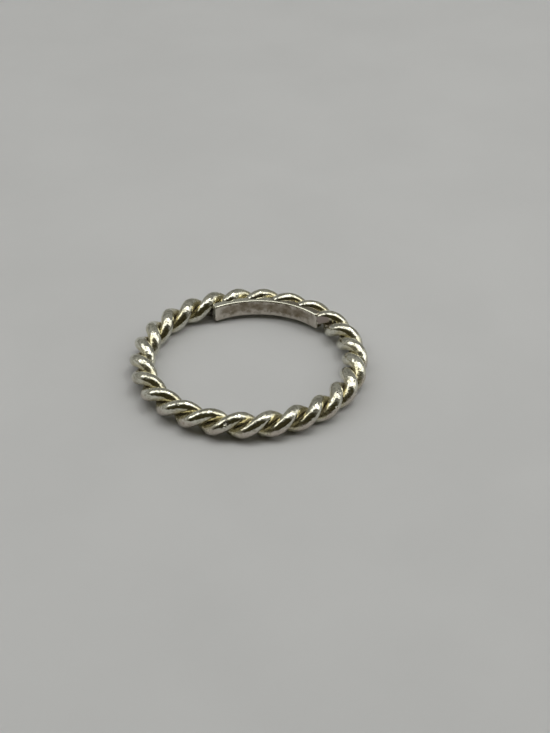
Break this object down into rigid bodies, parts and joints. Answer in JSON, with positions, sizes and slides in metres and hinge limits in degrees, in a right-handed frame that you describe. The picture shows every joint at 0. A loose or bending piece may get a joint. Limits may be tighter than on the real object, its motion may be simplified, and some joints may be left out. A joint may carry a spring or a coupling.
{
  "type": "rope twist ring",
  "caption": "Finger ring of two round silver wires twisted left-handed into a closed rope, with a small bent plate let into its inner side.",
  "frame": {"origin": "middle of the finger hole, on the surface that the ring rests on", "axes": "+Z along the ring's axis, up from the surface; +Y towards the middle of the plate let into the inner side"},
  "size_m": [0.0222, 0.0222, 0.0024],
  "materials": {
    "wire_silver": "polished silver, lightly worn, with warm tarnish in the grooves between the wires",
    "plate_silver": "satin silver, dulled and finely scratched, with bright rubbed edges"
  },
  "bodies": {
    "root": {"strand_a": "wire_silver", "strand_b": "wire_silver", "inner_plate": "plate_silver"}
  },
  "joints": []
}
